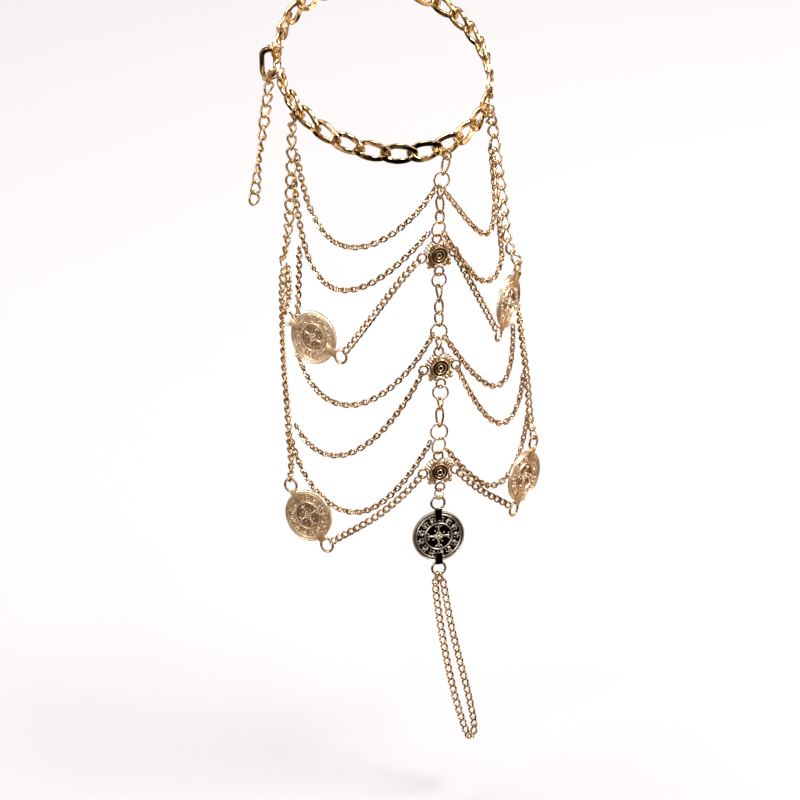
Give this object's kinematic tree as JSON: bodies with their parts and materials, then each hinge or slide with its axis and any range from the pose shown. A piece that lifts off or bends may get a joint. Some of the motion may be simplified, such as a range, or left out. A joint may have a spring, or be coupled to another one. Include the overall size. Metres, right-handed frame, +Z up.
{
  "type": "foot chain anklet",
  "caption": "Curb-link ankle chain with clasp and extension; side and centre chains carry coins, medallions, hanging swags and a toe loop.",
  "frame": {"origin": "middle of the ankle loop, where the ankle goes through it", "axes": "+Z up along the leg, -Y towards the instep and toes, +X to the right seen from the front"},
  "size_m": [0.0888, 0.1428, 0.2267],
  "materials": {
    "gold": "polished, gold coloured",
    "satin_gold": "satin, pale gold",
    "antique_metal": "antique, dark recesses"
  },
  "bodies": {
    "anklet": {"ankle_chain": "gold", "clasp_body": "gold", "clasp_ring": "gold", "hook_ring": "gold", "extension_ring": "gold", "extension_chain": "gold", "centre_ring": "gold", "left_ring": "gold", "right_ring": "gold", "left_column": "gold", "left_link_ring": "gold", "left_strand": "gold", "left_coin_strand": "gold", "right_column": "gold", "right_strand": "gold", "centre_chain_top": "gold", "centre_chain_middle": "gold", "centre_chain_low": "gold", "coin_ring": "gold", "toe_ring": "gold", "toe_loop": "gold", "medallion_top": "antique_metal", "medallion_middle": "antique_metal", "medallion_low": "antique_metal", "coin_centre": "antique_metal", "coin_left_upper": "satin_gold", "coin_left_lower": "satin_gold", "coin_right_upper": "satin_gold", "coin_right_lower": "satin_gold", "coin_chain_left_upper": "gold", "coin_chain_left_lower": "gold", "coin_chain_right_upper": "gold", "coin_chain_right_lower": "gold", "swag_left_1": "gold", "swag_left_2": "gold", "swag_left_3": "gold", "swag_left_4": "gold", "swag_left_5": "gold", "swag_right_1": "gold", "swag_right_2": "gold", "swag_right_3": "gold", "swag_right_4": "gold", "swag_right_5": "gold"},
    "lever": {"clasp_lever": "gold"}
  },
  "joints": [
    {"name": "clasp_lever_hinge", "type": "hinge", "parent": "anklet", "child": "lever", "pos_m": [-0.03485, 0.0112, 0.00296], "axis": [-0.0793, -0.9916, 0.1018], "range_deg": [-20, 0], "stiffness_Nm_per_rad": 0.0005, "springref_deg": 11.46}
  ]
}
